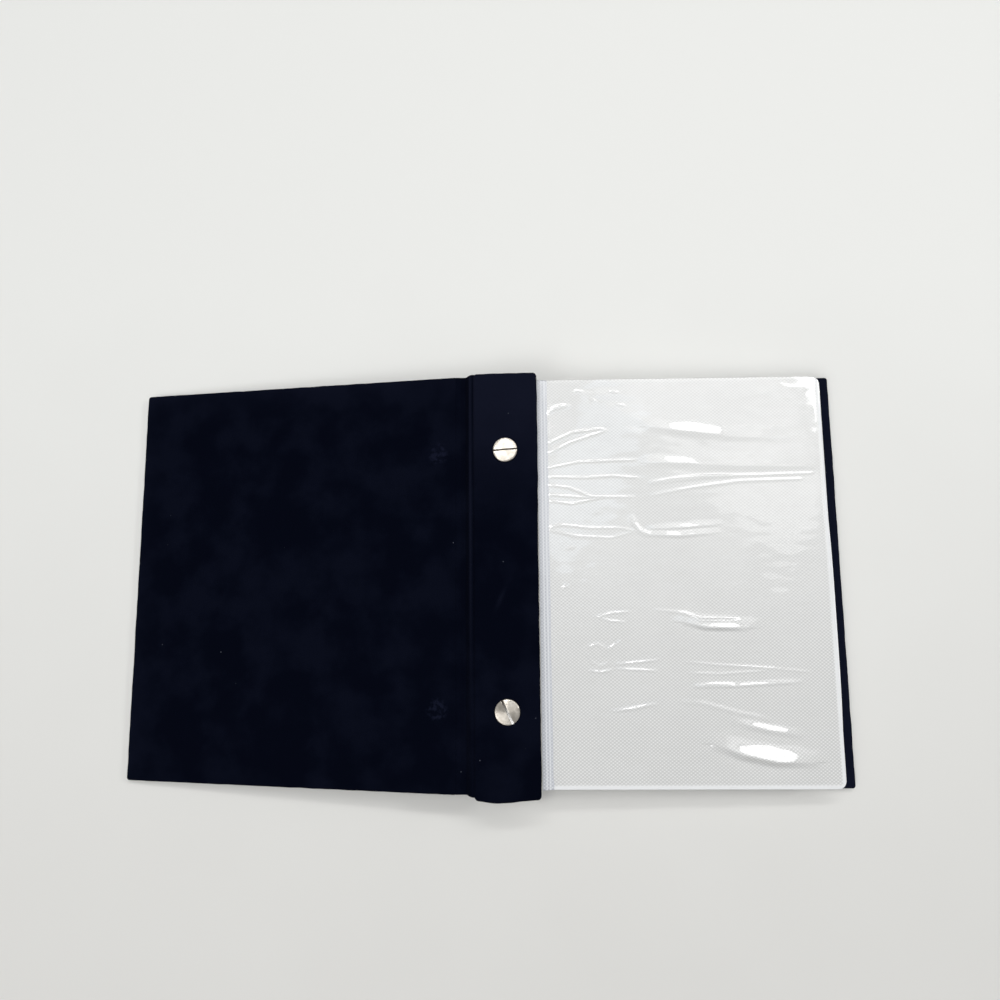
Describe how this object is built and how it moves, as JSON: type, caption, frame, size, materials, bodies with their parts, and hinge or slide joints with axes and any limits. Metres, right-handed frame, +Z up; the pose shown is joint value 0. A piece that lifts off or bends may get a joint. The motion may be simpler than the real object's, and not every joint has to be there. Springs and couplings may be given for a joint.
{
  "type": "post-bound photo album",
  "caption": "Small post-bound photo album with velvet covers, binding strips with slotted screws, and clear pocket leaves, lying open at its first leaf.",
  "frame": {"origin": "under the middle of the closed album, on the back cover's outer face", "axes": "+X from the spine to the fore edge, +Y along the spine to the pockets' open end, +Z up"},
  "size_m": [0.2868, 0.16, 0.0229],
  "materials": {
    "velvet": "dark navy velvet",
    "greyboard": "grey board",
    "film": "clear embossed film",
    "paper": "white insert paper",
    "card": "white card",
    "nickel": "turned nickel plate"
  },
  "bodies": {
    "back_cover": {"back_cover_velvet": "velvet", "back_cover_board": "greyboard", "back_cover_lining": "velvet", "back_hinge_cloth": "velvet"},
    "page_block": {"back_strip_velvet": "velvet", "back_strip_board": "greyboard", "back_strip_lining": "velvet", "front_strip_velvet": "velvet", "front_strip_board": "greyboard", "front_strip_lining": "velvet", "front_hinge_cloth": "velvet", "upper_post": "nickel", "lower_post": "nickel", "leaf_01_stub": "card", "leaf_02_stub": "card", "leaf_02_tab": "film", "leaf_02_front_film": "film", "leaf_02_insert": "paper", "leaf_02_back_film": "film", "leaf_03_stub": "card", "leaf_03_tab": "film", "leaf_03_front_film": "film", "leaf_03_insert": "paper", "leaf_03_back_film": "film", "leaf_04_stub": "card", "leaf_04_tab": "film", "leaf_04_front_film": "film", "leaf_04_insert": "paper", "leaf_04_back_film": "film", "leaf_05_stub": "card", "leaf_05_tab": "film", "leaf_05_front_film": "film", "leaf_05_insert": "paper", "leaf_05_back_film": "film", "leaf_06_stub": "card", "leaf_06_tab": "film", "leaf_06_front_film": "film", "leaf_06_insert": "paper", "leaf_06_back_film": "film", "leaf_07_stub": "card", "leaf_07_tab": "film", "leaf_07_front_film": "film", "leaf_07_insert": "paper", "leaf_07_back_film": "film", "leaf_08_stub": "card", "leaf_08_tab": "film", "leaf_08_front_film": "film", "leaf_08_insert": "paper", "leaf_08_back_film": "film"},
    "front_cover": {"front_cover_velvet": "velvet", "front_cover_board": "greyboard", "front_cover_lining": "velvet"},
    "top_leaf_tab": {"leaf_01_tab": "film"},
    "top_leaf_pocket": {"leaf_01_front_film": "film", "leaf_01_insert": "paper", "leaf_01_back_film": "film"},
    "upper_screw": {"upper_screw": "nickel"},
    "lower_screw": {"lower_screw": "nickel"}
  },
  "joints": [
    {"name": "front_cover_hinge", "type": "hinge", "parent": "page_block", "child": "front_cover", "pos_m": [-0.07253, 0, 0.02107], "axis": [0, -1, 0], "range_deg": [-186.2, 0]},
    {"name": "back_cover_hinge", "type": "hinge", "parent": "back_cover", "child": "page_block", "pos_m": [-0.0725, 0, 0.0061], "axis": [0, -1, 0], "range_deg": [0, 90]},
    {"name": "top_leaf_turn", "type": "hinge", "parent": "page_block", "child": "top_leaf_tab", "pos_m": [-0.0461, 0, 0.01862], "axis": [0, -1, 0], "range_deg": [0, 113.2]},
    {"name": "top_leaf_fold", "type": "hinge", "parent": "top_leaf_tab", "child": "top_leaf_pocket", "pos_m": [-0.0426, 0, 0.01712], "axis": [0, -1, 0], "range_deg": [0, 61]},
    {"name": "upper_screw_turn", "type": "hinge", "parent": "page_block", "child": "upper_screw", "pos_m": [-0.0589, 0.0492, 0.0223], "axis": [0, 0, 1], "range_deg": [0, 360]},
    {"name": "lower_screw_turn", "type": "hinge", "parent": "page_block", "child": "lower_screw", "pos_m": [-0.0589, -0.0492, 0.0223], "axis": [0, 0, 1], "range_deg": [0, 360]}
  ]
}
